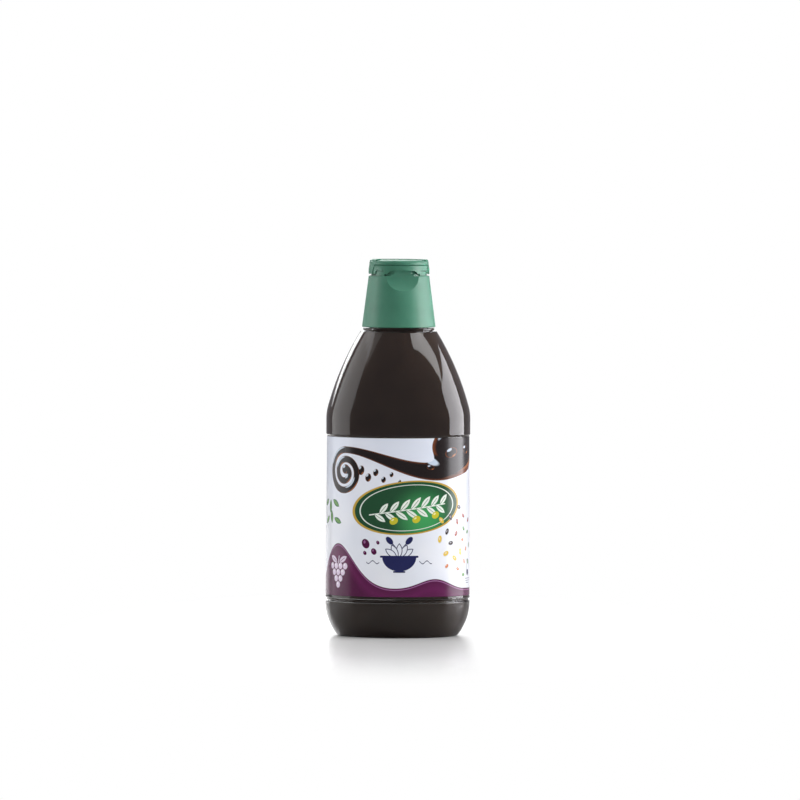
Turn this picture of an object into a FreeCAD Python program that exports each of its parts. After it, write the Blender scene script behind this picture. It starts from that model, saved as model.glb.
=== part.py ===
"""One-litre salad dressing bottle: a clear blown bottle of round section with a recessed label
panel, its dressing, a wrap label, and a moulded flip-top closure.

Millimetres, +Z up. The origin is the centre of the standing ring, and the label's front faces -Y.
"""
import FreeCAD, Part

import os
from math import acos, asin, atan2, cos, degrees, hypot, pi, radians, sin, sqrt, tan

# Bottle body
BODY_R = 45.0             # largest radius, below the label and at the shoulder
WALL = 0.6                # blown wall
PUSH_UP = 9.0             # rise of the hollow under the base
PUSH_UP_FLAT_R = 11.0
PUSH_UP_ROUND = 18.0
RING_WIDTH = 2.2          # flat ring that the bottle stands on
RING_INNER_ROUND = 1.2
HEEL_ROUND = 3.0          # from the ring into the heel
HEEL_BULGE = 34.0         # from there up into the upright wall

# Ring groove between the heel and the label
GROOVE_Z = 23.0
GROOVE_WIDTH = 1.9
GROOVE_DEPTH = 0.85
GROOVE_LIP = 0.5          # upright wall under the groove
GROOVE_LIP_ROUND = 0.3

# Label panel: a shallow recess, slightly narrower at its top
PANEL_ABOVE_GROOVE = 2.6
PANEL_HEIGHT = 99.4
PANEL_LOW_DEPTH = 0.18
PANEL_HIGH_DEPTH = 0.68
PANEL_STEP = 0.9          # height of the slanted step at each end of the panel
PANEL_BEAD_ROUND = 0.8

# Shoulder: an upright band, then two tangent arcs up to a narrow ledge
SHOULDER_BAND = 10.8
SHOULDER_HEIGHT = 54.3
SHOULDER_LOW_ROUND = 28.0
SHOULDER_ROUND = 178.0
LEDGE_WIDTH = 1.55        # from the collar bead out to the shoulder
LEDGE_EDGE = 0.6          # the shoulder's last stretch, into the ledge
LEDGE_ROUND = 0.4

# Neck finish, with no thread
NECK_R = 18.6
NECK_WALL = 1.7
NECK_HEIGHT = 17.3        # from the collar bead's top to the rim
COLLAR_PROUD = 3.6        # bead under the closure, beyond the neck
COLLAR_STEM = 1.0         # how far the stem under the bead is set in
COLLAR_GAP = 0.5          # slit between the ledge and the bead
COLLAR_HEIGHT = 1.5
COLLAR_ROUND = 0.5
FILL_ABOVE_LEDGE = 6.0    # liquid level above the shoulder's ledge
FILL_CLEARANCE = 0.1      # liquid to inner wall

# Wrap label, lapped at the back
LABEL_THICKNESS = 0.12
LABEL_GLUE = 0.03
LABEL_LOW_MARGIN = 0.3    # bare panel under the label
LABEL_HIGH_MARGIN = 0.5
LABEL_LAP_ANGLE = 10.0

# Flip-top closure: skirt
CLOSURE_TURN = 8.0        # how far the closure's front is turned from the label's front
SKIRT_GAP = 0.5           # collar bead to skirt
SKIRT_OVERHANG = 0.8      # skirt's lower edge beyond the collar bead
SKIRT_TAPER = 4.1         # how much narrower its radius is at the top
SKIRT_HEIGHT = 32.1
SKIRT_WALL = 1.6
SKIRT_EDGE_ROUND = 0.5
BORE_CLEARANCE = 0.15
SLEEVE_WALL = 1.3         # threaded sleeve inside the skirt
SLOT_DEPTH = 7.0          # moulding slot between the sleeve and the skirt
SEAL_THICKNESS = 1.2
SEAL_OVERLAP = 1.5        # how far the seal ring covers the neck's rim
DECK_THICKNESS = 1.6

# Seat of the lid on the deck
PARTING = 1.1             # height of the land, so of the gap round the lid
LAND_BEARING = 0.4        # width of the land under the lid's wall
UPSTAND_CLEARANCE = 0.4   # lid's wall to the ring that it closes over
UPSTAND_WALL = 1.4
UPSTAND_HEIGHT = 3.6
UPSTAND_ROUND = 0.4
LUG_CLEARANCE = 0.35      # lug to the lid's notch, all round
LUG_SET_BACK = 0.45       # lug's face behind the lid's

# Thumb scoop in the front of the skirt, under the lid
SCOOP_INSET = 3.0         # depth at the skirt's top edge
SCOOP_HEIGHT = 9.4
SCOOP_CURVE = 20.0        # radius of the scooped face, whose axis lies across the front

# Spout and its plug, inside the lid
SPOUT_BORE_R = 2.8
SPOUT_WALL = 1.4
SPOUT_HEIGHT = 3.2
SPOUT_ROUND = 0.4
PLUG_CLEARANCE = 0.2
PLUG_REACH = 2.2          # how far the plug goes down the spout

# Flip lid
LID_SET_BACK = 0.4        # lid's front behind the skirt's upper edge
LID_HEIGHT = 8.6
LID_WALL = 1.6
LID_TOP_ROUND = 1.7
LID_EDGE_ROUND = 0.3
CREASE_BELOW_TOP = 3.0
CREASE_WIDTH = 0.8
CREASE_DEPTH = 0.45
BAND_LOW_ANGLE = 71.0     # from the front to the slanted ends of the band that wraps the back
BAND_HIGH_ANGLE = 61.0
BAND_PROUD = 0.5          # beyond the lid's front, at its lower edge
BAND_LEAN = 0.95          # how much narrower its radius is at the top
BAND_CURVE = 12.0
BAND_RISE = 0.5           # above the lid's top
BAND_WIDTH = 2.2
BAND_TOP_ROUND = 1.0
BAND_INNER_ROUND = 0.5
ARCH_ANGLE = 32.0         # half-width of the notch over the scoop
ARCH_RISE = 2.6
ARCH_SIDE_RISE = 1.9
ARCH_CORNER_ROUND = 1.6
ARCH_CROWN_ROUND = 30.0
NOTCH_ANGLE = 49.0        # from the front to the middle of each notch that a lug fills
NOTCH_WIDTH = 7.4
NOTCH_HEIGHT = 2.2
NOTCH_ROUND = 1.0
HINGE_WIDTH = 13.0
HINGE_THICKNESS = 0.8
HINGE_SET_BACK = 0.1      # behind the skirt's upper edge

# Places and radii that several pieces share
groove_low_z = GROOVE_Z - GROOVE_WIDTH / 2
groove_high_z = GROOVE_Z + GROOVE_WIDTH / 2
panel_low_z = groove_high_z + PANEL_ABOVE_GROOVE - GROOVE_WIDTH / 2
panel_high_z = panel_low_z + PANEL_HEIGHT
shoulder_z = panel_high_z + SHOULDER_BAND
ledge_z = shoulder_z + SHOULDER_HEIGHT
collar_z = ledge_z + COLLAR_GAP
neck_z = collar_z + COLLAR_HEIGHT
rim_z = neck_z + NECK_HEIGHT
skirt_z = neck_z + SKIRT_GAP
deck_z = skirt_z + SKIRT_HEIGHT
lid_z = deck_z + PARTING
lid_top_z = lid_z + LID_HEIGHT
spout_z = lid_z + SPOUT_HEIGHT
collar_r = NECK_R + COLLAR_PROUD
mouth_r = NECK_R - NECK_WALL
bore_r = NECK_R + BORE_CLEARANCE
skirt_low_r = collar_r + SKIRT_OVERHANG
skirt_high_r = skirt_low_r - SKIRT_TAPER
lid_r = skirt_high_r - LID_SET_BACK
lid_hollow_r = lid_r - LID_WALL

AXIS_BASE = FreeCAD.Vector(0, 0, 0)
UP = FreeCAD.Vector(0, 0, 1)
REACH = 4 * BODY_R        # longer than any cut it is used for
CUT_PAST = 1.0            # how far a cut runs past a face that it opens
TOUCHING = 1e-6


def unit(a, b):
    """Direction from point a to point b in the (radius, height) plane."""
    length = hypot(b[0] - a[0], b[1] - a[1])
    return (b[0] - a[0]) / length, (b[1] - a[1]) / length


def turn_at(a, b, c):
    """Signed angle by which the path a, b, c turns at b. A left turn is positive."""
    u, v = unit(a, b), unit(b, c)
    return atan2(u[0] * v[1] - u[1] * v[0], u[0] * v[0] + u[1] * v[1])


def inset(corners, distance):
    """Moves an open outline to its left by a distance. Its round corners stay concentric."""
    moved = []
    for a, b in zip(corners, corners[1:]):
        u = unit(a, b)
        shift = (-u[1] * distance, u[0] * distance)
        moved.append(((a[0] + shift[0], a[1] + shift[1]), u))
    result = [(corners[0][0], moved[0][0][1], 0)]
    for corner, before, after, k in zip(corners[1:], moved, moved[1:], range(1, len(corners))):
        (p, u), (q, v) = before, after
        across = u[0] * v[1] - u[1] * v[0]
        along = ((q[0] - p[0]) * v[1] - (q[1] - p[1]) * v[0]) / across
        side = 1 if turn_at(corners[k - 1], corners[k], corners[k + 1]) > 0 else -1
        radius = max(corner[2] - side * distance, 0) if corner[2] else 0
        result.append((p[0] + along * u[0], p[1] + along * u[1], radius))
    last = corners[-1]
    result.append((last[0], moved[-1][0][1], 0))
    return result


def in_section(point):
    """Places a (radius, height) point in the XZ plane."""
    return FreeCAD.Vector(point[0], 0, point[1])


def add_line(edges, start, end, place):
    """Adds the straight edge between two points, unless an arc already ends there."""
    if hypot(end[0] - start[0], end[1] - start[1]) > TOUCHING:
        edges.append(Part.makeLine(place(start), place(end)))


def rounded_edges(corners, place):
    """Straight edges and tangent arcs along corners given as (x, y, rounding radius)."""
    edges = []
    start = corners[0]
    for a, b, c in zip(corners, corners[1:], corners[2:]):
        if b[2] == 0:
            add_line(edges, start, b, place)
            start = b
            continue
        turn = turn_at(a, b, c)
        u, v = unit(a, b), unit(b, c)
        tangent = b[2] * tan(abs(turn) / 2)
        first = (b[0] - u[0] * tangent, b[1] - u[1] * tangent)
        last = (b[0] + v[0] * tangent, b[1] + v[1] * tangent)
        inward = (v[0] - u[0], v[1] - u[1])
        scale = (b[2] / cos(turn / 2) - b[2]) / hypot(*inward)
        middle = (b[0] + inward[0] * scale, b[1] + inward[1] * scale)
        add_line(edges, start, first, place)
        edges.append(Part.Arc(place(first), place(middle), place(last)).toShape())
        start = last
    add_line(edges, start, corners[-1], place)
    return edges


def closed_face(corners, place=in_section):
    """The flat face inside a closed outline of rounded corners. Its first corner is sharp."""
    return Part.Face(Part.Wire(rounded_edges(corners + corners[:1], place)))


def revolved(corners, angle=360.0, start=0.0):
    """Turns a closed (radius, height) outline about the axis, from an angle measured from +X."""
    solid = closed_face(corners).revolve(AXIS_BASE, UP, angle)
    solid.rotate(AXIS_BASE, UP, start)
    return solid


def ring(inner, outer, low, high):
    """A plain upright ring, or a disc where the inner radius is 0."""
    return revolved([(inner, low, 0), (outer, low, 0), (outer, high, 0), (inner, high, 0)])


def heel_corners():
    """Corners whose roundings are the heel's two tangent arcs, and the ring's outer radius."""
    bulge_z = groove_low_z - GROOVE_LIP
    between = HEEL_BULGE - HEEL_ROUND
    drop = bulge_z - HEEL_ROUND
    slope = asin(drop / between)
    ring_r = BODY_R - HEEL_BULGE + between * cos(slope)
    corners = [
        (ring_r + HEEL_ROUND * tan(pi / 4 - slope / 2), 0, HEEL_ROUND),
        (BODY_R, bulge_z - HEEL_BULGE * tan(slope / 2), HEEL_BULGE),
    ]
    return corners, ring_r


def shoulder_corners():
    """Corners whose roundings are the shoulder's two tangent arcs, and where the upper ends."""
    top = (collar_r + LEDGE_WIDTH + LEDGE_EDGE / 2, ledge_z - LEDGE_EDGE)
    low_centre = (BODY_R - SHOULDER_LOW_ROUND, shoulder_z)
    to_top = hypot(top[0] - low_centre[0], top[1] - low_centre[1])
    between = SHOULDER_ROUND - SHOULDER_LOW_ROUND
    at_low = acos((to_top ** 2 + between ** 2 - SHOULDER_ROUND ** 2) / (2 * to_top * between))
    heading = atan2(top[1] - low_centre[1], top[0] - low_centre[0]) + at_low
    centre = (low_centre[0] + between * cos(heading), low_centre[1] + between * sin(heading))
    start = heading - pi
    end = atan2(top[1] - centre[1], top[0] - centre[0])
    reach = SHOULDER_ROUND / cos((end - start) / 2)
    middle = (start + end) / 2
    return [
        (BODY_R, shoulder_z + SHOULDER_LOW_ROUND * tan(start / 2), SHOULDER_LOW_ROUND),
        (centre[0] + reach * cos(middle), centre[1] + reach * sin(middle), SHOULDER_ROUND),
        (top[0], top[1], 0),
    ]


def body_corners():
    """Outline of the bottle's body, from the middle of the base to the shoulder's ledge."""
    heel, ring_r = heel_corners()
    groove_r = BODY_R - GROOVE_DEPTH
    groove_round = GROOVE_WIDTH / 4
    return [
        (0, PUSH_UP, 0),
        (PUSH_UP_FLAT_R, PUSH_UP, PUSH_UP_ROUND),
        (ring_r - RING_WIDTH, 0, RING_INNER_ROUND),
        *heel,
        (BODY_R, groove_low_z, GROOVE_LIP_ROUND),
        (groove_r, groove_low_z + groove_round, groove_round),
        (groove_r, groove_high_z - groove_round, groove_round),
        (BODY_R, groove_high_z, GROOVE_LIP_ROUND),
        (BODY_R, panel_low_z - PANEL_STEP, PANEL_BEAD_ROUND),
        (BODY_R - PANEL_LOW_DEPTH, panel_low_z, 0),
        (BODY_R - PANEL_HIGH_DEPTH, panel_high_z, 0),
        (BODY_R, panel_high_z + PANEL_STEP, PANEL_BEAD_ROUND),
        *shoulder_corners(),
        (collar_r + LEDGE_WIDTH, ledge_z, LEDGE_ROUND),
        (0, ledge_z, 0),
    ]


def body_solid(depth=0.0):
    """The body as a solid of revolution, or the space a given depth inside its outline."""
    corners = inset(body_corners(), depth) if depth else body_corners()
    return revolved(corners)


def neck_solid():
    """Stem, collar bead and plain neck finish above the shoulder's ledge."""
    return revolved([
        (0, ledge_z - WALL, 0),
        (collar_r - COLLAR_STEM, ledge_z - WALL, 0),
        (collar_r - COLLAR_STEM, collar_z, 0),
        (collar_r, collar_z, COLLAR_ROUND),
        (collar_r, neck_z, COLLAR_ROUND),
        (NECK_R, neck_z, 0),
        (NECK_R, rim_z, 0),
        (0, rim_z, 0),
    ])


def bottle():
    """Hollow blown body with its neck, open at the rim."""
    outside = body_solid().fuse(neck_solid())
    mouth = ring(0, mouth_r, ledge_z - 2 * WALL, rim_z + CUT_PAST)
    return outside.cut(body_solid(WALL).fuse(mouth)).removeSplitter()


def dressing():
    """The liquid, from the inner wall up to its level inside the neck."""
    depth = WALL + FILL_CLEARANCE
    column_r = mouth_r - FILL_CLEARANCE
    column = ring(0, column_r, ledge_z - 2 * depth, ledge_z + FILL_ABOVE_LEDGE)
    return body_solid(depth).fuse(column).removeSplitter()


def panel_radius(height):
    """Radius of the label panel at a height."""
    share = (height - panel_low_z) / PANEL_HEIGHT
    return BODY_R - PANEL_LOW_DEPTH - share * (PANEL_HIGH_DEPTH - PANEL_LOW_DEPTH)


def label_layer(lift):
    """Section of one layer of the label, lifted off the panel by a distance."""
    low = panel_low_z + LABEL_LOW_MARGIN
    high = panel_high_z - LABEL_HIGH_MARGIN
    low_r = panel_radius(low) + lift
    high_r = panel_radius(high) + lift
    return [
        (low_r, low, 0),
        (low_r + LABEL_THICKNESS, low, 0),
        (high_r + LABEL_THICKNESS, high, 0),
        (high_r, high, 0),
    ]


def label():
    """Paper-thin wrap, with its end lapped over its start at the back."""
    wrap = revolved(label_layer(LABEL_GLUE))
    lap = revolved(label_layer(LABEL_GLUE + LABEL_THICKNESS), LABEL_LAP_ANGLE, 90.0)
    return wrap.fuse(lap)


def skirt_radius(height, depth=0.0):
    """Radius of the skirt's cone at a height, less a depth into the wall."""
    share = (height - skirt_z) / SKIRT_HEIGHT
    return skirt_low_r - share * SKIRT_TAPER - depth


def scoop_tool(depth=0.0):
    """Drum across the front whose face scoops the skirt, or that face moved inward by a depth."""
    top = (SCOOP_INSET - skirt_high_r, deck_z)
    low_z = deck_z - SCOOP_HEIGHT
    low = (-skirt_radius(low_z), low_z)
    chord = hypot(top[0] - low[0], top[1] - low[1])
    stand_off = sqrt(SCOOP_CURVE ** 2 - chord ** 2 / 4)
    u = unit(low, top)
    centre_y = (top[0] + low[0]) / 2 - u[1] * stand_off
    centre_z = (top[1] + low[1]) / 2 + u[0] * stand_off
    centre = FreeCAD.Vector(-REACH / 2, centre_y, centre_z)
    return Part.makeCylinder(SCOOP_CURVE + depth, REACH, centre, FreeCAD.Vector(1, 0, 0))


def closure_turned(shape):
    """Turns a closure piece from facing -Y to how the closure sits on the neck."""
    turned = shape.copy()
    turned.rotate(AXIS_BASE, UP, CLOSURE_TURN)
    return turned


def cap_base():
    """Skirt, threaded sleeve, seal ring, deck with the lid's land, upstand and lugs, and spout."""
    land_r = lid_hollow_r + LAND_BEARING
    upstand_r = lid_hollow_r - UPSTAND_CLEARANCE
    upstand_z = lid_z + UPSTAND_HEIGHT
    spout_r = SPOUT_BORE_R + SPOUT_WALL
    outside = revolved([
        (0, skirt_z, 0),
        (skirt_low_r, skirt_z, SKIRT_EDGE_ROUND),
        (skirt_high_r, deck_z, SKIRT_EDGE_ROUND),
        (land_r, deck_z, 0),
        (land_r, lid_z, 0),
        (upstand_r, lid_z, 0),
        (upstand_r, upstand_z, UPSTAND_ROUND),
        (upstand_r - UPSTAND_WALL, upstand_z, UPSTAND_ROUND),
        (upstand_r - UPSTAND_WALL, lid_z, 0),
        (spout_r, lid_z, 0),
        (spout_r, spout_z, SPOUT_ROUND),
        (0, spout_z, 0),
    ])
    seal_top = rim_z + SEAL_THICKNESS
    ceiling = deck_z - DECK_THICKNESS
    chamber = revolved([
        (0, seal_top, 0),
        (skirt_radius(seal_top, SKIRT_WALL), seal_top, 0),
        (skirt_radius(ceiling, SKIRT_WALL), ceiling, 0),
        (0, ceiling, 0),
    ]).cut(scoop_tool(SKIRT_WALL))
    bore = ring(0, bore_r, skirt_z - CUT_PAST, rim_z)
    seal_opening = ring(0, mouth_r - SEAL_OVERLAP, rim_z - CUT_PAST, seal_top + CUT_PAST)
    spout_bore = ring(0, SPOUT_BORE_R, ceiling - CUT_PAST, spout_z + CUT_PAST)
    lug_r = lid_r - LUG_SET_BACK
    lugs = [notch_block(angle, LUG_CLEARANCE, upstand_r - UPSTAND_WALL / 2, lug_r)
            for angle in (-NOTCH_ANGLE, NOTCH_ANGLE)]
    shape = outside.fuse(lugs).cut(chamber.fuse([bore, seal_opening, spout_bore]))
    shape = shape.cut(moulding_slot()).cut(scoop_tool())
    return closure_turned(shape.removeSplitter())


def moulding_slot():
    """Wedge-shaped ring slot, open below, that parts the sleeve from the skirt."""
    sleeve_r = bore_r + SLEEVE_WALL
    low_z = skirt_z - CUT_PAST
    top_z = skirt_z + SLOT_DEPTH
    return revolved([
        (sleeve_r, low_z, 0),
        (skirt_radius(low_z, SKIRT_WALL), low_z, 0),
        (skirt_radius(top_z, SKIRT_WALL), top_z, 0),
        (sleeve_r, top_z, 0),
    ])


def lid_front():
    """Outside of the lid's front part, with the crease that runs round it."""
    crease_z = lid_top_z - CREASE_BELOW_TOP
    return revolved([
        (0, lid_z, 0),
        (lid_r, lid_z, LID_EDGE_ROUND),
        (lid_r, crease_z - CREASE_WIDTH / 2, 0),
        (lid_r - CREASE_DEPTH, crease_z, 0),
        (lid_r, crease_z + CREASE_WIDTH / 2, 0),
        (lid_r, lid_top_z, LID_TOP_ROUND),
        (0, lid_top_z, 0),
    ])


def lid_band():
    """Thicker rim that wraps the back of the lid, with a slanted end at each side."""
    top = lid_top_z + BAND_RISE
    low_r = lid_r + BAND_PROUD
    high_r = low_r - BAND_LEAN
    inner = high_r - BAND_WIDTH
    band = revolved([
        (inner, lid_z, 0),
        (low_r, lid_z, LID_EDGE_ROUND),
        (low_r, lid_z + LID_HEIGHT / 3, BAND_CURVE),
        (high_r, top, BAND_TOP_ROUND),
        (inner, top, BAND_INNER_ROUND),
    ])
    ahead = closed_face([
        (-REACH, lid_z, 0),
        (-low_r * cos(radians(BAND_LOW_ANGLE)), lid_z, 0),
        (-low_r * cos(radians(BAND_HIGH_ANGLE)), top, 0),
        (-REACH, top, 0),
    ], beside)
    return band.cut(ahead.extrude(FreeCAD.Vector(REACH, 0, 0)))


def beside(point):
    """Places a (y, z) point in the plane y-z, to the left of the closure."""
    return FreeCAD.Vector(-REACH / 2, point[0], point[1])


def across_front(point):
    """Places an (x, z) point in the plane x-z, ahead of the closure."""
    return FreeCAD.Vector(point[0], -REACH / 2, point[1])


def front_block(outline, inner, outer):
    """Outline in the plane x-z carried through the front half of a ring between two radii."""
    block = closed_face(outline, across_front).extrude(FreeCAD.Vector(0, REACH / 2, 0))
    return block.common(ring(inner, outer, deck_z, lid_top_z))


def arch_tool():
    """Block with an arched top that notches the front of the lid's lower edge."""
    half = lid_r * sin(radians(ARCH_ANGLE))
    outline = [
        (0, deck_z, 0),
        (half, deck_z, 0),
        (half, lid_z, 0),
        (half - ARCH_SIDE_RISE, lid_z + ARCH_SIDE_RISE, ARCH_CORNER_ROUND),
        (0, lid_z + ARCH_RISE, ARCH_CROWN_ROUND),
        (-half + ARCH_SIDE_RISE, lid_z + ARCH_SIDE_RISE, ARCH_CORNER_ROUND),
        (-half, lid_z, 0),
        (-half, deck_z, 0),
    ]
    return front_block(outline, lid_hollow_r - CUT_PAST, lid_r + CUT_PAST)


def notch_block(angle, clearance, inner, outer):
    """Round-topped block at an angle from the front: a notch, or the lug inside it by a clearance."""
    half = NOTCH_WIDTH / 2 - clearance
    top = lid_z + NOTCH_HEIGHT - clearance
    corner = NOTCH_ROUND - clearance
    outline = [
        (0, deck_z, 0),
        (half, deck_z, 0),
        (half, top, corner),
        (-half, top, corner),
        (-half, deck_z, 0),
    ]
    block = front_block(outline, inner, outer)
    block.rotate(AXIS_BASE, UP, angle)
    return block


def hinge_strap():
    """Strap across the parting gap at the back, down to the deck."""
    outer = skirt_high_r - HINGE_SET_BACK
    into_lid = lid_z + LID_EDGE_ROUND
    half_angle = degrees(asin(HINGE_WIDTH / 2 / outer))
    section = [
        (outer - HINGE_THICKNESS, deck_z, 0),
        (outer, deck_z, 0),
        (outer, into_lid, 0),
        (outer - HINGE_THICKNESS, into_lid, 0),
    ]
    return revolved(section, 2 * half_angle, 90.0 - half_angle)


def flip_lid():
    """Hollow lid with its rear band, thumb arch, side notches, hinge strap and plug."""
    hollow_top = lid_top_z - LID_WALL
    hollow = ring(0, lid_hollow_r, lid_z - CUT_PAST, hollow_top)
    plug_r = SPOUT_BORE_R - PLUG_CLEARANCE
    plug = ring(0, plug_r, spout_z - PLUG_REACH, hollow_top + LID_WALL / 2)
    shape = lid_front().fuse(lid_band()).cut(hollow)
    shape = shape.fuse([plug, hinge_strap()])
    shape = shape.cut(arch_tool())
    for angle in (-NOTCH_ANGLE, NOTCH_ANGLE):
        shape = shape.cut(notch_block(angle, 0, lid_hollow_r - CUT_PAST, lid_r + CUT_PAST))
    return closure_turned(shape.removeSplitter())


def save(name, shape):
    """Writes one sub-part and prints its size."""
    solids = shape.Solids
    if len(solids) != 1 or not shape.isValid():
        raise ValueError("{} has {} solids, valid: {}".format(name, len(solids), shape.isValid()))
    solids[0].exportStep("parts/" + name + ".step")
    box = shape.BoundBox
    print("{:10s} volume {:9.1f} mm3, z {:.2f} to {:.2f}".format(
        name, shape.Volume, box.ZMin, box.ZMax))


os.makedirs("parts", exist_ok=True)
save("bottle", bottle())
save("dressing", dressing())
save("label", label())
save("cap_base", cap_base())
save("flip_lid", flip_lid())
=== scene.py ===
"""Looks of the salad dressing bottle: plastic, dressing, printed label, closure and studio.

Metres and +Z up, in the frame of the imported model. The label's front faces -Y.
"""

from math import cos, pi, radians, sin, tan

import bpy
from mathutils import Matrix, Vector


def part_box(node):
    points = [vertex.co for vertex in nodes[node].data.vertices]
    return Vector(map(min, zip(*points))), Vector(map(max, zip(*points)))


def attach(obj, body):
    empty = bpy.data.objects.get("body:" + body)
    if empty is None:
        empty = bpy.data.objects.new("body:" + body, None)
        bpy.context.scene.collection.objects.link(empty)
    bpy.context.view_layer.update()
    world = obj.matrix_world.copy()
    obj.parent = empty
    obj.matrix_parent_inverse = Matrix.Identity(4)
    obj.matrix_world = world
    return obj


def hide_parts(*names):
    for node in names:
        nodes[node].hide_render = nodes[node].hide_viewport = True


MM = 0.001
WHITE = (1.0, 1.0, 1.0, 1.0)

# Camera: a long lens, slightly above the bottle
PICTURE_WIDTH = 0.4993        # width that the picture spans at the bottle
CAMERA_DISTANCE = 7.0
CAMERA_AIM = Vector((0.0010, 0, 0.1470))
CAMERA_HEIGHT = 0.3676
CAMERA_ROLL = radians(0.27)
SENSOR = 36.0

# Pieces
GROOVE_Z = 22.0               # mm; the plastic is satin from here down and polished above
FILL_REACH = 0.35 * MM        # how far the dressing is grown into the bottle's wall

# Floor
FLOOR_HALF = 1.6
FLOOR_PAPER = 0.62            # grey of the paper that the shadow falls on
FLOOR_MIRRORED = 0.36         # the paper as the bottle's gloss sees it
FLOOR_LIFT = 0.05             # white added to the floor where the camera sees it
SHADOW_NEAR = 0.20            # the shadow starts to fade out here
SHADOW_FAR = 0.56
SHADOW_NARROW = 2.6           # the shadow is this much narrower than it is deep

# Room. Azimuths are in degrees from the back, positive to the left
AMBIENT = 0.35                # even light from all sides
ROOM = (0.25, 0.24, 0.26, 1.0)  # what gloss sees where the room is dark
WALL_HALF = 6.0               # gloss sees a white wall this far to each side of the back
WALL_FADE = 1.0
CARD_LOW = 6.0                # elevation where the bright card at the back left begins
CARD_END = 40.0               # and the azimuth where it ends
CARD_FADE = 4.0
CARD_LEVEL = 5.0

# Light panels that gloss shows
PANEL_DISTANCE = 1.2
CEILING_Z = 1.35
LEFT_LEVEL = 1.35
RIGHT_LEVEL = 4.9
RIGHT_COLOUR = (0.97, 0.96, 1.0)
CEILING_LEVEL = 0.6
LEANING_LEVEL = 4.4

# Soft lamps that no gloss shows
OVERHEAD_LEVEL = 2.0
BACK_LEVEL = 4.0
FRONT_LEVEL = 2.2
KEY_LEVEL = 3.4

# Narrow beams on the closure
BEAM_RIGHT_LEVEL = 0.80
BEAM_LEFT_LEVEL = 0.22
BEAM_Z = (0.165, 0.240)       # heights that they reach
BEAM_WIDTH = 0.10
BEAM_DISTANCE = 0.9
BEAM_SPREAD = radians(3.0)

# Sockets of a Mix node that mixes colours
MIX_SHARE, MIX_FIRST, MIX_SECOND = 0, 6, 7
MIX_RESULT = 2


def srgb(red, green, blue):
    """Linear colour of an 8-bit sRGB one."""
    def linear(value):
        share = value / 255
        return share / 12.92 if share <= 0.04045 else ((share + 0.055) / 1.055) ** 2.4
    return (linear(red), linear(green), linear(blue), 1.0)


# Printed label
LABEL_R = 44.4                # radius that the print is laid out on, in mm
LABEL_BACK = 139.5            # way round the label from its front to the middle of its back, in mm
PRINT_EDGE = 0.16             # softness of a printed edge, in mm
PAPER_WHITE = srgb(238, 240, 247)
PAPER_BLUE = srgb(222, 228, 242)
PURPLE = srgb(80, 2, 60)
PURPLE_LIT = srgb(128, 34, 104)
PURPLE_PALE = srgb(160, 100, 150)
GRAPE = srgb(226, 208, 230)
GRAPE_SHINE = srgb(250, 244, 252)
GREEN_DEEP = srgb(24, 74, 44)
GREEN_MID = srgb(38, 104, 60)
GREEN_BRIGHT = srgb(62, 158, 88)
LEAF_PALE = srgb(236, 243, 232)
HERB = srgb(98, 150, 66)
GOLD = srgb(196, 160, 62)
OLIVE = srgb(206, 196, 46)
OLIVE_SHINE = srgb(240, 236, 170)
SYRUP_DARK = srgb(24, 14, 13)
SYRUP_AMBER = srgb(112, 58, 28)
SYRUP_SHINE = srgb(206, 218, 232)
SYRUP_GLOW = srgb(176, 108, 62)
SEED_ORANGE = srgb(214, 120, 42)
SEED_YELLOW = srgb(228, 192, 66)
SEED_DARK = srgb(52, 34, 30)
SEED_RUST = srgb(158, 62, 36)
SEED_SHADE = srgb(120, 118, 128)
NAVY = srgb(22, 28, 84)
RULE_GREY = srgb(128, 128, 146)
RULE_VIOLET = srgb(150, 130, 168)


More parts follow.
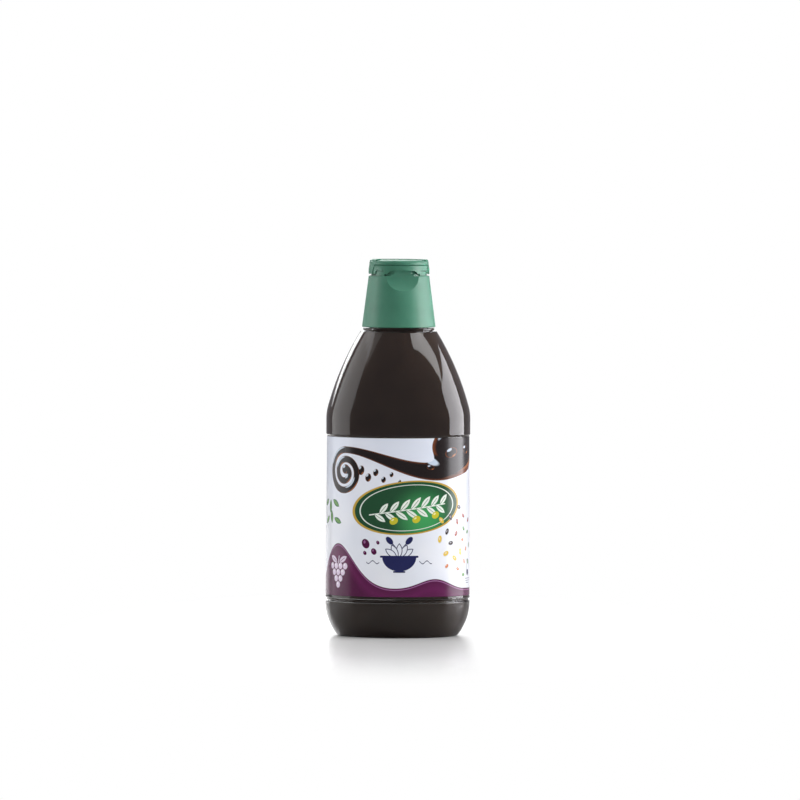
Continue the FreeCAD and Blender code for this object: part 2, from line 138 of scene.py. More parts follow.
class Graph:
    """Builds a node tree. Numbers, colours and sockets can be given to any input."""

    shared = {}               # node groups already made, by the name of their function

    def __init__(self, tree):
        self.tree = tree
        tree.nodes.clear()

    def call(self, function, *values):
        """Uses a function of fields and colours as a node group, made at its first call."""
        group = self.shared.get(function.__name__) or self.make_group(function, values)
        made = self.node("Group", dict(enumerate(values)), node_tree=group)
        result = made.outputs[0]
        return result if result.type == "RGBA" else Field(self, result)

    def make_group(self, function, values):
        """Node group that works a function out, with an input for each value."""
        tree = bpy.data.node_groups.new(function.__name__, "ShaderNodeTree")
        for place, value in enumerate(values):
            coloured = isinstance(value, tuple) or getattr(value, "type", "") == "RGBA"
            kind = "NodeSocketColor" if coloured else "NodeSocketFloat"
            tree.interface.new_socket("in_{}".format(place), in_out="INPUT", socket_type=kind)
        inner = Graph(tree)
        given = tree.nodes.new("NodeGroupInput").outputs[:len(values)]
        result = function(inner, *(
            socket if socket.type == "RGBA" else Field(inner, socket) for socket in given))
        kind = "NodeSocketFloat" if isinstance(result, Field) else "NodeSocketColor"
        tree.interface.new_socket("out", in_out="OUTPUT", socket_type=kind)
        inner.feed(tree.nodes.new("NodeGroupOutput").inputs[0], result)
        self.shared[function.__name__] = tree
        return tree

    def node(self, kind, inputs=None, **settings):
        """Adds a shader node with its properties and what goes into its sockets."""
        made = self.tree.nodes.new("ShaderNode" + kind)
        for name, value in settings.items():
            setattr(made, name, value)
        for name, value in (inputs or {}).items():
            self.feed(made.inputs[name], value)
        return made

    def feed(self, socket, value):
        """Links a socket to a field or another socket, or sets its value."""
        if isinstance(value, Field):
            value = value.socket
        if isinstance(value, bpy.types.NodeSocket):
            self.tree.links.new(value, socket)
        else:
            socket.default_value = value

    def math(self, operation, *values):
        made = self.node("Math", dict(enumerate(values)), operation=operation)
        return Field(self, made.outputs[0])

    def mix(self, share, first, second, blend="MIX"):
        """Second colour over the first, as far as share says."""
        inputs = {MIX_SHARE: share, MIX_FIRST: first, MIX_SECOND: second}
        return self.node("Mix", inputs, data_type="RGBA", blend_type=blend).outputs[MIX_RESULT]

    def noise(self, vector, scale, detail=2.0, **more):
        inputs = {"Vector": vector, "Scale": scale, "Detail": detail, **more}
        return Field(self, self.node("TexNoise", inputs).outputs["Fac"])

    def ramp(self, value, low, high, to_low=0.0, to_high=1.0):
        """Smooth step from to_low to to_high.

        It has no clamp, because a smooth step needs none and the extra nodes would leave
        the renderer no room for the label.
        """
        inputs = {"Value": value, "From Min": low, "From Max": high,
                  "To Min": to_low, "To Max": to_high}
        made = self.node("MapRange", inputs, interpolation_type="SMOOTHSTEP", clamp=False)
        return Field(self, made.outputs["Result"])

    def bump(self, height, strength, depth, **more):
        inputs = {"Strength": strength, "Distance": depth, "Height": height, **more}
        return self.node("Bump", inputs).outputs[0]

    def combine(self, x, y, z=0.0):
        return self.node("CombineXYZ", {"X": x, "Y": y, "Z": z}).outputs[0]

    def split(self, vector):
        return [Field(self, socket) for socket in self.node("SeparateXYZ", {0: vector}).outputs]


class Field:
    """A number that varies over a surface. Arithmetic on it adds nodes to its graph."""

    def __init__(self, graph, socket):
        self.graph = graph
        self.socket = socket

    def __add__(self, other):
        return self.graph.math("ADD", self, other)

    def __sub__(self, other):
        return self.graph.math("SUBTRACT", self, other)

    def __rsub__(self, other):
        return self.graph.math("SUBTRACT", other, self)

    def __mul__(self, other):
        return self.graph.math("MULTIPLY", self, other)

    def __truediv__(self, other):
        return self.graph.math("DIVIDE", self, other)

    def __neg__(self):
        return self * -1.0

    __radd__ = __add__
    __rmul__ = __mul__

    def to(self, operation, *others):
        """Result of a Math node on this and other values."""
        return self.graph.math(operation, self, *others)

    def absolute(self):
        return self.to("ABSOLUTE")

    def at_least(self, other):
        return self.to("MAXIMUM", other)

    def at_most(self, other):
        return self.to("MINIMUM", other)

    def hump(self, centre, width):
        """Bell curve of height 1."""
        share = (self - centre) / width
        return (-(share * share)).to("EXPONENT")


def span(a, b):
    """Length of the vector (a, b)."""
    return (a * a + b * b).to("SQRT")


def new_material(name):
    """Empty material and the graph that builds it."""
    material = bpy.data.materials.new(name)
    material.use_nodes = True
    return material, Graph(material.node_tree)


def finish_material(graph, shader):
    graph.node("OutputMaterial", {"Surface": shader})


def object_place(graph):
    """Object coordinates in millimetres."""
    place = graph.node("TexCoord").outputs["Object"]
    scale = (1 / MM, 1 / MM, 1 / MM)
    return graph.node("VectorMath", {0: place, 1: scale}, operation="MULTIPLY").outputs[0]


def wear(obj, material):
    """Gives an object one material."""
    obj.data.materials.clear()
    obj.data.materials.append(material)


# ---------------------------------------------------------------- materials

def clear_plastic():
    """Blown clear plastic: polished above the groove, satin below it."""
    material, g = new_material("clear_plastic")
    place = object_place(g)
    z = g.split(place)[2]
    satin = g.ramp(z, GROOVE_Z + 0.4, GROOVE_Z - 0.4)
    roughness = satin * 0.17 + 0.035
    ripple = g.noise(place, scale=0.045, detail=1.5)
    grain = g.noise(place, scale=3.2)
    bump = g.bump(ripple, strength=0.05, depth=2.0 * MM)
    fine = g.bump(grain, strength=satin * 0.10, depth=0.2 * MM, Normal=bump)
    shader = g.node("BsdfPrincipled", {
        "Base Color": srgb(250, 249, 247), "Roughness": roughness, "IOR": 1.5,
        "Transmission Weight": 1.0, "Normal": fine})
    finish_material(g, shader.outputs[0])
    return material


def dressing_liquid():
    """Dark vinaigrette, too deep to see through. Against the wall its skin hardly reflects."""
    material, g = new_material("dressing_liquid")
    place = object_place(g)
    cloud = g.ramp(g.noise(place, scale=0.03, detail=3.0), 0.3, 0.7)
    shader = g.node("BsdfPrincipled", {
        "Base Color": g.mix(cloud, srgb(70, 55, 46), srgb(78, 62, 52)),
        "Roughness": g.ramp(cloud, 0.0, 1.0, to_low=0.28, to_high=0.36), "IOR": 1.1})
    finish_material(g, shader.outputs[0])
    return material


def satin_cap():
    """Moulded green polypropylene, satin and slightly cloudy, with painted shade darkening its
    seams.
    """
    material, g = new_material("satin_cap")
    place = object_place(g)
    cloud = g.noise(place, scale=0.09, detail=3.0)
    grain = g.noise(place, scale=4.0)
    colour = g.mix(g.ramp(cloud, 0.3, 0.7), srgb(56, 113, 91), srgb(62, 119, 97))
    # Painted shade: ambient occlusion darkens the green towards a deep shade in seams, notches and
    # creases.
    seam_shade_occlusion = g.node("AmbientOcclusion", {"Distance": 1.3 * MM}, samples=8)
    unshaded_share = g.ramp(Field(g, seam_shade_occlusion.outputs["AO"]), 0.30, 0.80)
    shader = g.node("BsdfPrincipled", {
        "Base Color": g.mix(unshaded_share, srgb(26, 62, 47), colour),
        "Roughness": g.ramp(cloud, 0.2, 0.8, to_low=0.46, to_high=0.52), "IOR": 1.49,
        "Subsurface Weight": 0.5, "Subsurface Radius": (0.4, 1.0, 0.8),
        "Subsurface Scale": 1.5 * MM,
        "Normal": g.bump(grain, strength=0.12, depth=0.1 * MM)})
    finish_material(g, shader.outputs[0])
    return material


# ---------------------------------------------------------------- printed label

# A shape is a signed distance in mm, negative inside. s runs round the label and t up it.
# Each shape becomes a node group, so it takes the group's graph first.

def turned(s, t, centre_s, centre_t, angle):
    """Coordinates about a point, turned by an angle in radians."""
    along, aside = angle.to("COSINE"), angle.to("SINE")
    u, v = s - centre_s, t - centre_t
    return u * along + v * aside, v * along - u * aside


def disc_distance(g, s, t, centre_s, centre_t, radius):
    return span(s - centre_s, t - centre_t) - radius


def oval_distance(g, s, t, centre_s, centre_t, half_width, half_height, angle):
    u, v = turned(s, t, centre_s, centre_t, angle)
    return (span(u / half_width, v / half_height) - 1.0) * half_width.at_most(half_height)


def leaf_distance(g, s, t, centre_s, centre_t, half_length, half_width, angle):
    """Two equal arcs that meet in points."""
    u, v = turned(s, t, centre_s, centre_t, angle)
    radius = (half_length * half_length + half_width * half_width) / (half_width * 2.0)
    return span(u, v.absolute() + (radius - half_width)) - radius


def stroke_distance(g, s, t, start_s, start_t, length, width, angle):
    """Straight line with round ends."""
    u, v = turned(s, t, start_s, start_t, angle)
    past = u - u.at_least(0.0).at_most(length)
    return span(past, v) - width * 0.5


def box_distance(g, s, t, centre_s, centre_t, half_width, half_height, corner):
    """Upright rectangle with round corners."""
    u = (s - centre_s).absolute() - (half_width - corner)
    v = (t - centre_t).absolute() - (half_height - corner)
    outside = span(u.at_least(0.0), v.at_least(0.0))
    return outside + u.at_least(v).at_most(0.0) - corner


def painted(g, under, distance, over, strength, edge):
    """Colour over another inside a shape, with a soft edge."""
    share = (0.5 - distance / edge).at_least(0.0).at_most(1.0)
    return g.mix(share * strength, under, over)


def syrup_colour(g, lean_s, lean_t):
    """Dark syrup lit from the upper left. lean is its surface normal in the sheet's plane."""
    flat = (1.0 - (lean_s * lean_s + lean_t * lean_t)).at_least(0.0).to("SQRT")
    colour = g.mix(g.ramp(flat, 0.75, 0.15), SYRUP_DARK, SYRUP_AMBER)
    sky = lean_s * -0.45 + lean_t * 0.62 + flat * 0.64
    colour = g.mix(g.ramp(sky, 0.88, 0.93), colour, SYRUP_SHINE)
    glow = lean_s * 0.5 + lean_t * -0.66 + flat * 0.56
    return g.mix(g.ramp(glow, 0.90, 0.97) * 0.7, colour, SYRUP_GLOW)


def drop_colour(g, s, t, centre_s, centre_t, half_width, half_height, angle):
    """Colour of a round drop of syrup that fills an oval."""
    u, v = turned(s, t, centre_s, centre_t, angle)
    u, v = u / half_width, v / half_height
    along, aside = angle.to("COSINE"), angle.to("SINE")
    return syrup_colour(g, u * along - v * aside, u * aside + v * along)


class Sheet:
    """Printed sheet, whose shapes are painted one over another. Angles are in degrees."""

    def __init__(self, graph, across, up, ground):
        self.g = graph
        self.s = across
        self.t = up
        self.colour = ground

    def local(self, s, t):
        """Coordinates about a point."""
        return self.s - s, self.t - t

    def disc(self, s, t, radius):
        return self.g.call(disc_distance, self.s, self.t, s, t, radius)

    def oval(self, s, t, half_width, half_height, angle=0.0):
        return self.g.call(
            oval_distance, self.s, self.t, s, t, half_width, half_height, radians(angle))

    def leaf(self, s, t, half_length, half_width, angle=0.0):
        return self.g.call(
            leaf_distance, self.s, self.t, s, t, half_length, half_width, radians(angle))

    def stroke(self, s, t, length, width, angle=0.0):
        return self.g.call(stroke_distance, self.s, self.t, s, t, length, width, radians(angle))

    def box(self, s, t, half_width, half_height, corner=0.0):
        return self.g.call(box_distance, self.s, self.t, s, t, half_width, half_height, corner)

    def paint(self, distance, colour, strength=1.0, edge=PRINT_EDGE):
        self.colour = self.g.call(painted, self.colour, distance, colour, strength, edge)

    def outline(self, distance, width, colour):
        """Line along a shape's edge."""
        self.paint(distance.absolute() - width / 2, colour)

    def syrup(self, distance, lean_s, lean_t):
        self.paint(distance, self.g.call(syrup_colour, lean_s, lean_t))

    def syrup_drop(self, s, t, half_width, half_height, angle=0.0):
        shape = self.s, self.t, s, t, half_width, half_height, radians(angle)
        self.paint(self.g.call(oval_distance, *shape), self.g.call(drop_colour, *shape))


def print_ground(g, t):
    """Cool white paper, bluer towards the top."""
    return g.mix(g.ramp(t, 40.0, 95.0) * 0.5, PAPER_WHITE, PAPER_BLUE)


def print_cloud(sheet, place):
    """Slightly uneven ink.

    It comes last, because the renderer runs out of room if every shape waits for a noise.
    """
    cloud = sheet.g.ramp(sheet.g.noise(place, scale=0.03), 0.35, 0.65)
    tint = sheet.g.mix(cloud, WHITE, srgb(248, 250, 253))
    sheet.colour = sheet.g.mix(1.0, sheet.colour, tint, blend="MULTIPLY")


def print_hill(sheet):
    """Purple hill at the lower left, the strip that it runs out into, and drops above it."""
    hill = sheet.s.hump(-43.0, 20.0) * 28.0
    rise = sheet.s.hump(24.0, 15.0) * 6.5
    strip = 4.6
    edge = (sheet.t - (hill + rise + strip)) * 0.8
    sheet.paint(edge, PURPLE)
    sheet.paint((edge + 5.0).absolute() - 2.6, PURPLE_LIT, 0.30, edge=5.0)
    sheet.outline(edge + 0.9, 0.45, PURPLE_PALE)
    drops = (-20.5, 33.0, 2.5), (-15.0, 28.2, 1.7), (-21.0, 27.2, 1.1), (-12.4, 33.8, 1.0)
    for drop_s, drop_t, radius in drops:
        sheet.paint(sheet.oval(drop_s, drop_t, radius, radius * 1.25, 30.0), PURPLE)
        shine_s, shine_t = drop_s - radius * 0.3, drop_t + radius * 0.4
        shine = sheet.oval(shine_s, shine_t, radius * 0.3, radius * 0.4)
        sheet.paint(shine, PURPLE_PALE, 0.8)


def print_grapes(sheet, s, t):
    """Bunch of grapes on the hill, from the middle of its top row, with a stalk and two leaves."""
    rows, radius = 4, 2.15
    for row in range(rows):
        count = rows - row
        for place in range(count):
            grape_s = s + (place - (count - 1) / 2) * radius * 2.1
            grape_t = t - row * radius * 1.8
            sheet.paint(sheet.disc(grape_s, grape_t, radius), GRAPE)
            sheet.paint(sheet.disc(grape_s - 0.6, grape_t + 0.7, 0.62), GRAPE_SHINE)
            sheet.outline(sheet.disc(grape_s, grape_t, radius), 0.28, PURPLE)
    sheet.paint(sheet.stroke(s, t + 1.6, 4.6, 0.7, 78.0), GRAPE)
    for side in (-1, 1):
        leaf_s, leaf_t, angle = s + side * 4.6, t + 4.2, 90.0 - side * 62.0
        sheet.paint(sheet.leaf(leaf_s, leaf_t, 3.9, 1.7, angle), GRAPE)
        sheet.paint(sheet.stroke(leaf_s - side * 3.0, leaf_t - 1.6, 5.4, 0.3, angle), PURPLE)


def print_plate(sheet):
    """Green oval plate with a gold rim and an olive sprig."""
    g = sheet.g
    s, t = 7.0, 55.5
    plate = sheet.oval(s, t, 35.0, 15.6, 5.0)
    shine = g.ramp(sheet.disc(s + 9.0, t - 7.0, 0.0), 24.0, 2.0)
    green = g.mix(shine, GREEN_DEEP, GREEN_BRIGHT)
    sheet.paint(plate - 1.1, GOLD)
    sheet.paint(plate - 0.25, GREEN_DEEP)
    sheet.paint(plate, green)
    sheet.outline(plate + 1.5, 0.38, LEAF_PALE)
    stem_s, stem_t, slope = s - 25.0, t - 4.6, 8.0
    sheet.paint(sheet.stroke(stem_s, stem_t, 50.0, 0.7, slope), LEAF_PALE)
    along, rise = cos(radians(slope)), sin(radians(slope))
    pairs, spacing, splay = 7, 6.6, 42.0
    for step in range(pairs):
        reach = 5.0 + spacing * step
        for side in (-1, 1):
            angle = slope + side * splay
            foot_s = stem_s + (reach + 1.6 * side) * along
            foot_t = stem_t + (reach + 1.6 * side) * rise
            half = 4.9 - 0.25 * abs(step - pairs // 2)
            middle_s = foot_s + half * cos(radians(angle))
            middle_t = foot_t + half * sin(radians(angle))
            sheet.paint(sheet.leaf(middle_s, middle_t, half, 1.55, angle), LEAF_PALE)
            sheet.paint(sheet.stroke(foot_s, foot_t, half * 1.5, 0.28, angle), GREEN_MID)
    for olive_s, olive_t in ((s - 9.5, t - 8.2), (s + 4.6, t - 7.2), (s + 17.5, t - 4.6)):
        sheet.paint(sheet.oval(olive_s, olive_t, 2.7, 2.1, 30.0), OLIVE)
        sheet.paint(sheet.oval(olive_s - 0.7, olive_t + 0.7, 0.9, 0.5, 30.0), OLIVE_SHINE)


def merged(first, second, reach):
    """Two shapes as one, each a distance and a lean. Their join is rounded over reach."""
    share = ((second[0] - first[0]) / (2 * reach) + 0.5).at_least(0.0).at_most(1.0)
    rest = 1.0 - share
    distance, lean_s, lean_t = (a * share + b * rest for a, b in zip(first, second))
    return distance - share * rest * reach, lean_s, lean_t


def syrup_curl(sheet, centre_s, centre_t, radius, pitch, half):
    """Band that winds inwards from its top, to the left and down."""
    u, v = sheet.local(centre_s, centre_t)
    rho = span(u, v).at_least(0.01)
    turn = (v.to("ARCTAN2", u) / (2 * pi) - 0.25).to("FRACT")
    rings = (radius - rho) / pitch - turn
    nearest = rings.to("ROUND").at_least(0.0).at_most(1.0)
    inward = (rings - nearest) * pitch
    lean = inward / (rho * -half)
    return inward.absolute() - half, u * lean, v * lean


def syrup_thread(sheet, start, end, top, fall, run, thin, thick):
    """Wavy band that thickens from start to end."""
    g, s, t = sheet.g, sheet.s, sheet.t
    phase = (s - start) * (pi / run)
    middle = phase.to("COSINE") * fall + (top - fall)
    slope = phase.to("SINE") * (-fall * pi / run)
    half = g.ramp(s, start, end - 18.0, thin, thick)
    offset = (t - middle) / (slope * slope + 1.0).to("SQRT")
    lean = offset / half
    distance = (offset.absolute() - half).at_least((start - s).at_least(s - end))
    return distance, -(lean * slope), lean


def syrup_pool(sheet, s, t, half_width, half_height):
    """Flat pool with a rounded rim."""
    u, v = sheet.local(s, t)
    u, v = u / half_width, v / half_height
    reach = span(u, v).at_least(0.01)
    rim = sheet.g.ramp(reach, 0.62, 1.0) / reach
    return (reach - 1.0) * half_height, u * rim, v * rim


def print_drizzle(sheet):
    """Dark syrup: a pool at the upper right, a thread to the left and the curl that it ends in."""
    curl_s, curl_t, curl_r, pitch, thin = -37.0, 77.0, 14.0, 5.9, 2.1
    curl = syrup_curl(sheet, curl_s, curl_t, curl_r, pitch, thin)
    u, v = sheet.local(curl_s + 0.3, curl_t + curl_r - 2 * pitch - 0.3)
    blob_r = 2.9
    blob = span(u, v) - blob_r, u / blob_r, v / blob_r
    thread = syrup_thread(sheet, curl_s, 60.0, curl_t + curl_r, 6.5, 60.0, thin, 6.2)
    pool = syrup_pool(sheet, 47.0, 93.0, 25.0, 15.5)
    ribbon = merged(merged(curl, blob, 1.0), merged(thread, pool, 6.0), 0.5)
    sheet.syrup(*ribbon)
    sheet.syrup_drop(37.5, 89.5, 5.6, 3.1, 12.0)
    sheet.syrup_drop(54.5, 91.0, 4.2, 2.6, -10.0)
    sheet.syrup_drop(21.0, 80.5, 2.6, 1.5, -8.0)
    for step in range(6):
        drop_s = -24.0 + 5.0 * step
        drop_t = 78.5 - 3.8 * (step % 2) - 0.6 * step
        size = 2.2 - 0.26 * step
        sheet.syrup_drop(drop_s, drop_t, size, size * 1.35, -12.0)


def print_seeds(sheet):
    """Seeds, peppercorns and herb flakes at the right. Turns of 137.5 degrees keep them apart."""
    s, t = 46.0, 35.0
    colours = (SEED_ORANGE, SEED_YELLOW, SEED_DARK, SEED_RUST, HERB)
    for step in range(24):
        angle = radians(137.5 * step)
        reach = 4.6 * (step + 0.6) ** 0.5
        seed_s = s + reach * cos(angle) * 0.95
        seed_t = t + reach * sin(angle)
        long = 1.5 + 0.75 * ((step * 7) % 5) / 4
        turn = 47.0 * step
        shade = sheet.oval(seed_s + 0.25, seed_t - 0.35, long, long * 0.62, turn)
        sheet.paint(shade, SEED_SHADE, 0.35, edge=0.5)
        sheet.paint(sheet.oval(seed_s, seed_t, long, long * 0.6, turn), colours[(step * 3) % 5])
        shine = sheet.oval(seed_s - 0.2, seed_t + 0.25, long * 0.4, long * 0.2, turn)
        sheet.paint(shine, PAPER_WHITE, 0.45)


def print_herbs(sheet):
    """Loose leaves at the left edge, between the curl and the hill."""
    for step in range(6):
        leaf_s = -61.0 + 7.4 * (step % 3) + 2.0 * (step // 3)
        leaf_t = 57.5 - 8.6 * (step // 3) - 2.2 * (step % 2)
        angle = 25.0 + 63.0 * step
        sheet.paint(sheet.leaf(leaf_s, leaf_t, 4.2, 1.8, angle), GREEN_MID)
        sheet.paint(sheet.leaf(leaf_s, leaf_t, 3.7, 1.0, angle), HERB)


def print_bowl(sheet):
    """Salad bowl with leaves and servers, between two short waves, in navy."""
    s, t = 1.0, 25.0
    for side in (-1, 1):
        angle = 90.0 - side * 42.0
        handle_s = s - side * 3.0
        sheet.paint(sheet.stroke(handle_s, t, 12.0, 0.8, angle), NAVY)
        tip_s = handle_s + 13.6 * cos(radians(angle))
        tip_t = t + 13.6 * sin(radians(angle))
        sheet.paint(sheet.oval(tip_s, tip_t, 2.9, 1.7, angle), NAVY)
    for step in range(5):
        angle = 90.0 + 27.0 * (step - 2)
        leaf_s = s + 5.4 * cos(radians(angle)) * 1.15
        leaf_t = t + 4.0 * sin(radians(angle))
        sheet.paint(sheet.leaf(leaf_s, leaf_t, 4.6, 2.0, angle), PAPER_WHITE)
        sheet.outline(sheet.leaf(leaf_s, leaf_t, 4.2, 1.7, angle), 0.5, NAVY)
    bowl = sheet.oval(s, t, 10.6, 9.0).at_least(sheet.t - t)
    sheet.paint(bowl - 0.5, PAPER_WHITE)
    sheet.paint(bowl, NAVY)
    sheet.paint(sheet.box(s, t + 0.1, 12.0, 0.65, 0.6), NAVY)
    sheet.paint(sheet.box(s, t - 9.3, 3.8, 0.55, 0.5), NAVY)
    wave = (sheet.s * 1.1).to("SINE") * 0.9 + (t - 3.4)
    aside = (sheet.s - s).absolute()
    line = (sheet.t - wave).absolute() - 0.28
    sheet.paint(line.at_least(12.5 - aside).at_least(aside - 21.0), NAVY)


def stripes(value, pitch):
    """Distance from the nearest of a row of lines."""
    return ((value / pitch).to("FRACT") - 0.5).absolute() * pitch


def print_small_marks(sheet):
    """Capsule and rules at the lower right, and the ruled columns beside the front."""
    g, s, t = sheet.g, sheet.s, sheet.t
    mark_s = 58.5
    sheet.outline(sheet.box(mark_s, 17.5, 2.3, 5.0, 2.2), 0.4, NAVY)
    sheet.paint(sheet.box(mark_s, 14.6, 1.6, 1.6, 1.5), NAVY)
    for row in range(3):
        sheet.paint(sheet.box(mark_s, 10.6 - 1.35 * row, 4.6 - 0.7 * row, 0.22), RULE_GREY)
    aside = s.absolute()
    rule = (aside - 65.2).absolute() - 0.16
    sheet.paint(rule.at_least(t - 73.0), RULE_VIOLET, 0.8)
    pitch = 1.45
    column = ((aside - 71.0).absolute() - 4.4).at_least((t - 41.0).absolute() - 31.0)
    line = stripes(aside, pitch) - 0.33
    words = g.noise(g.combine((aside / pitch).to("FLOOR") * 7.3, t * 0.9), scale=1.0, detail=1.0)
    sheet.paint(line.at_least(column).at_least((0.42 - words) * 4.0), RULE_GREY, 0.75)


def print_back(sheet):
    """Ruled panel with a green head on the back."""
    g, s, t = sheet.g, sheet.s, sheet.t
    aside = LABEL_BACK - s.absolute()
    half_width = 38.0
    panel = (aside - half_width).at_least((t - 52.0).absolute() - 34.0)
    sheet.paint(panel, PAPER_WHITE)
    sheet.outline(panel, 0.4, RULE_GREY)
    head = (aside - half_width).at_least((t - 81.0).absolute() - 5.0)
    sheet.paint(head, GREEN_DEEP)
    pitch = 3.1
    row = stripes(t, pitch) - 0.5
    column = stripes(s, 25.3) - 10.8
    words = g.noise(g.combine(s * 0.55, (t / pitch).to("FLOOR") * 5.1), scale=1.0, detail=1.0)
    lines = row.at_least(column).at_least((0.44 - words) * 4.0)
    lines = lines.at_least(panel + 3.0).at_least(t - 73.5)
    sheet.paint(lines, RULE_GREY, 0.8)


def label_print():
    """Glossy film with its print, in the label's own coordinates: mm round the front and mm up."""
    material, g = new_material("label_print")
    place = object_place(g)
    x, y, z = g.split(place)
    label_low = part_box("label")[0].z / MM
    s = x.to("ARCTAN2", -y) * LABEL_R
    t = z - label_low
    sheet = Sheet(g, s, t, print_ground(g, t))
    print_hill(sheet)
    print_grapes(sheet, -43.0, 18.5)
    print_herbs(sheet)
    print_drizzle(sheet)
    print_plate(sheet)
    print_bowl(sheet)
    print_seeds(sheet)
    print_small_marks(sheet)
    print_back(sheet)
    print_cloud(sheet, place)
    ripple = g.noise(place, scale=0.05)
    fine = g.noise(place, scale=1.6)
    bump = g.bump(ripple, strength=0.05, depth=2.0 * MM)
    grain = g.bump(fine, strength=0.04, depth=0.2 * MM, Normal=bump)
    shader = g.node("BsdfPrincipled", {
        "Base Color": sheet.colour,
        "Roughness": g.ramp(fine, 0.3, 0.7, to_low=0.20, to_high=0.26), "IOR": 1.48,
        "Normal": grain})
    finish_material(g, shader.outputs[0])
    return material


# ---------------------------------------------------------------- pieces

def dressing_piece(node):
    """The liquid, grown from its CAD solid until it reaches into the bottle's wall."""
    mesh = node.data.copy()
    piece = bpy.data.objects.new("dressing_fill", mesh)
    bpy.context.scene.collection.objects.link(piece)
    normals = [vertex.normal.copy() for vertex in mesh.vertices]
    for vertex, normal in zip(mesh.vertices, normals):
        vertex.co += normal * FILL_REACH
    return piece


# ---------------------------------------------------------------- studio

def add_area(name, place, target, width, height, radiance, colour=(1, 1, 1), glossy=True):
    """Area lamp that faces its target and looks as bright as its radiance."""
    lamp = bpy.data.lights.new(name, "AREA")
    lamp.shape = "RECTANGLE"
    lamp.size = width
    lamp.size_y = height
    lamp.energy = radiance * pi * width * height
    lamp.color = colour
    obj = bpy.data.objects.new(name, lamp)
    bpy.context.scene.collection.objects.link(obj)
    obj.location = place
    obj.rotation_euler = (Vector(target) - Vector(place)).to_track_quat("-Z", "Y").to_euler()
    obj.visible_camera = False
    obj.visible_glossy = glossy
    obj.visible_transmission = glossy
    return obj


def around(azimuth, distance, height):
    """A place at an azimuth from the back, positive towards the left (-X)."""
    angle = radians(azimuth)
    return Vector((-sin(angle) * distance, cos(angle) * distance, height))


def side_panel(name, start, end, top, radiance, colour=(1, 1, 1)):
    """Upright panel on the floor that the bottle sees between two azimuths."""
    width = 2 * PANEL_DISTANCE * tan(radians(abs(end - start) / 2))
    centre = around((start + end) / 2, PANEL_DISTANCE, top / 2)
    add_area(name, centre, (0, 0, top / 2), width, top, radiance, colour)


def leaning_panel(name, low_end, high_end, width, radiance):
    """Strip of light along a line, turned to face the bottle."""
    centre = (low_end + high_end) / 2
    along = high_end - low_end
    panel = add_area(name, centre, (0, 0, 0), width, along.length, radiance)
    away = centre.normalized()
    side = along.cross(away).normalized()
    panel.rotation_euler = Matrix((side, away.cross(side), away)).transposed().to_euler()


def ceiling_panel(name, left, right, front, back, radiance):
    """Panel overhead, seen in the gloss of the shoulder."""
    centre = Vector(((left + right) / 2, (front + back) / 2, CEILING_Z))
    below = centre - Vector((0, 0, 1))
    add_area(name, centre, below, right - left, back - front, radiance)


def soft_lamp(name, place, target, width, height, radiance):
    """Soft light that no gloss shows."""
    add_area(name, place, target, width, height, radiance, glossy=False)


def closure_beam(name, azimuth, radiance):
    """Narrow beam that lights the closure alone."""
    low, high = BEAM_Z
    place = around(azimuth, BEAM_DISTANCE, (low + high) / 2)
    beam = add_area(name, place, (0, 0, place.z), BEAM_WIDTH, high - low, radiance)
    beam.data.spread = BEAM_SPREAD
    beam.visible_transmission = False


def floor_stage():
    """White floor that keeps the soft shadow near the bottle and fades to white further out."""
    mesh = bpy.data.meshes.new("floor")
    half = FLOOR_HALF
    corners = [(-half, -half, 0), (half, -half, 0), (half, half, 0), (-half, half, 0)]
    mesh.from_pydata(corners, [], [(0, 1, 2, 3)])
    floor = bpy.data.objects.new("floor", mesh)
    bpy.context.scene.collection.objects.link(floor)
    material, g = new_material("studio_floor")
    x, y = g.split(g.node("TexCoord").outputs["Object"])[:2]
    reach = span(x * SHADOW_NARROW, y)
    path = g.node("LightPath")
    seen = Field(g, path.outputs["Is Camera Ray"])
    level = Field(g, path.outputs["Is Glossy Ray"]) * (FLOOR_MIRRORED - FLOOR_PAPER) + FLOOR_PAPER
    paper = g.node("BsdfPrincipled", {
        "Base Color": g.combine(level, level, level), "Roughness": 0.26, "IOR": 1.4})
    lift = g.node("Emission", {"Color": WHITE, "Strength": seen * FLOOR_LIFT})
    near = g.node("AddShader", {0: paper.outputs[0], 1: lift.outputs[0]})
    white = g.node("Emission", {"Color": WHITE, "Strength": 1.0})
    far = seen * g.ramp(reach, SHADOW_NEAR, SHADOW_FAR)
    mixed = g.node("MixShader", {0: far, 1: near.outputs[0], 2: white.outputs[0]})
    finish_material(g, mixed.outputs[0])
    wear(floor, material)


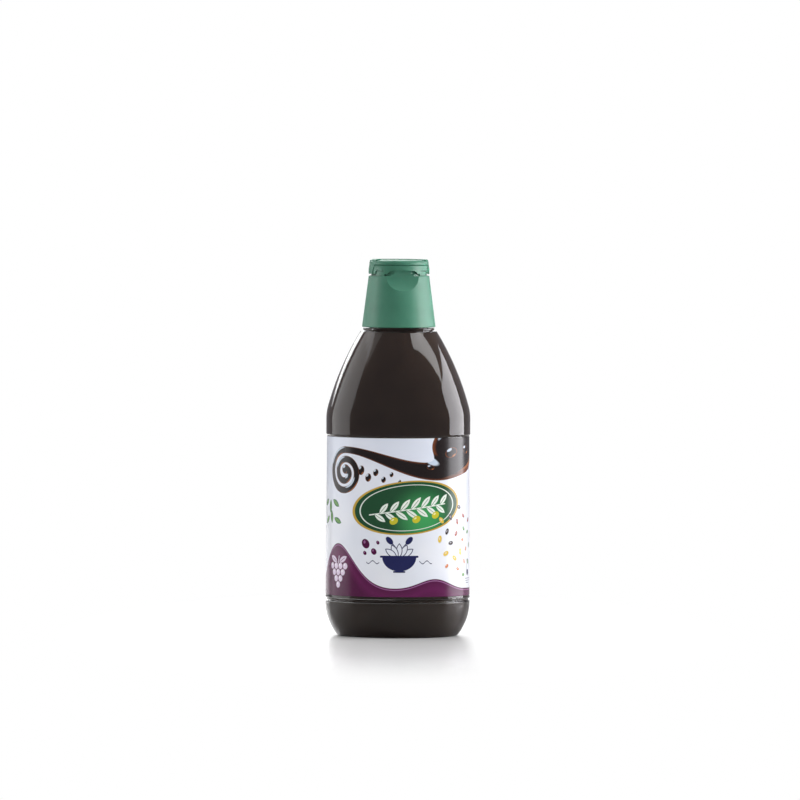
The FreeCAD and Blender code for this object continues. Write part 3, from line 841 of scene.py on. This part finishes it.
def studio_world():
    """White behind the bottle. Gloss sees a dark room with a white wall and a bright card."""
    world = bpy.data.worlds.new("studio")
    bpy.context.scene.world = world
    world.use_nodes = True
    g = Graph(world.node_tree)
    x, y, z = g.split(g.node("TexCoord").outputs["Generated"])
    azimuth = (-x).to("ARCTAN2", y) * (180 / pi)
    elevation = z.to("ARCSINE") * (180 / pi)
    wall = g.ramp(azimuth.absolute(), WALL_HALF + WALL_FADE, WALL_HALF)
    path = g.node("LightPath")
    glossy = Field(g, path.outputs["Is Glossy Ray"])
    mirrored = glossy.at_least(Field(g, path.outputs["Is Transmission Ray"]))
    card = g.ramp(elevation, CARD_LOW, CARD_LOW + CARD_FADE) * g.ramp(azimuth, 0.0, WALL_FADE)
    card = card * g.ramp(azimuth, CARD_END, CARD_END - CARD_FADE) * glossy
    seen = Field(g, path.outputs["Is Camera Ray"])
    ambient = g.node("Background", {"Color": WHITE, "Strength": AMBIENT})
    mirror = g.node("Background", {
        "Color": g.mix(wall.at_least(card), ROOM, WHITE),
        "Strength": card * (CARD_LEVEL - 1.0) + 1.0})
    white = g.node("Background", {"Color": WHITE, "Strength": 1.0})
    unseen = g.node("MixShader", {0: mirrored, 1: ambient.outputs[0], 2: mirror.outputs[0]})
    mixed = g.node("MixShader", {0: seen, 1: unseen.outputs[0], 2: white.outputs[0]})
    g.node("OutputWorld", {"Surface": mixed.outputs[0]})


def studio():
    """Floor, room and lamps. The bottle stands at the origin."""
    floor_stage()
    studio_world()
    side_panel("panel_left", 50.0, 97.0, top=CEILING_Z, radiance=LEFT_LEVEL)
    side_panel("panel_right", -51.0, -91.0, top=0.76, radiance=RIGHT_LEVEL, colour=RIGHT_COLOUR)
    ceiling_panel("ceiling_left", left=-1.6, right=0.0, front=-0.35, back=1.0,
                  radiance=CEILING_LEVEL)
    ceiling_panel("ceiling_right", left=0.0, right=1.2, front=-0.35, back=0.0,
                  radiance=CEILING_LEVEL)
    leaning_panel("panel_leaning", low_end=Vector((1.2, 0.19, 0.80)),
                  high_end=Vector((1.2, -0.62, 1.96)), width=0.36, radiance=LEANING_LEVEL)
    soft_lamp("overhead", place=(0, 0.2, 1.9), target=(0, 0, 0),
              width=0.9, height=0.9, radiance=OVERHEAD_LEVEL)
    soft_lamp("back_light", place=(0, 1.7, 0.75), target=(0, 0, 0.05),
              width=1.6, height=1.0, radiance=BACK_LEVEL)
    soft_lamp("front_fill", place=(0.2, -2.2, 0.8), target=(0, 0, 0.1),
              width=1.6, height=1.2, radiance=FRONT_LEVEL)
    soft_lamp("key_right", place=around(-114.0, 0.8, 1.6), target=(0, 0, 0.2),
              width=0.7, height=0.7, radiance=KEY_LEVEL)
    closure_beam("cap_right", azimuth=-102.0, radiance=BEAM_RIGHT_LEVEL)
    closure_beam("cap_left", azimuth=88.0, radiance=BEAM_LEFT_LEVEL)


def camera():
    """Camera at the height, aim and roll given above."""
    data = bpy.data.cameras.new("camera")
    data.sensor_width = SENSOR
    data.lens = SENSOR * CAMERA_DISTANCE / PICTURE_WIDTH
    obj = bpy.data.objects.new("camera", data)
    bpy.context.scene.collection.objects.link(obj)
    place = Vector((CAMERA_AIM.x, -CAMERA_DISTANCE, CAMERA_HEIGHT))
    turn = (CAMERA_AIM - place).to_track_quat("-Z", "Y")
    turn = turn @ Matrix.Rotation(CAMERA_ROLL, 3, "Z").to_quaternion()
    obj.location = place
    obj.rotation_euler = turn.to_euler()
    bpy.context.scene.camera = obj


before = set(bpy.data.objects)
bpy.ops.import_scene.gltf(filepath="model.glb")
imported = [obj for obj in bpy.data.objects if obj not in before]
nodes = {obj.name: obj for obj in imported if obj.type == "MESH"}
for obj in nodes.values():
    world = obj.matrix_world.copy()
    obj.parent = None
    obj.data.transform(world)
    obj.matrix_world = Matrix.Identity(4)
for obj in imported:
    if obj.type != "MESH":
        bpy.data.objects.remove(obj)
bpy.context.view_layer.update()

camera()
studio()
wear(nodes["bottle"], clear_plastic())
wear(nodes["label"], label_print())
cap_material = satin_cap()
wear(nodes["cap_base"], cap_material)
wear(nodes["flip_lid"], cap_material)

fill = dressing_piece(nodes["dressing"])
wear(fill, dressing_liquid())
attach(fill, "root")
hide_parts("dressing")

bpy.context.scene.view_settings.view_transform = "Standard"
bpy.context.view_layer.update()
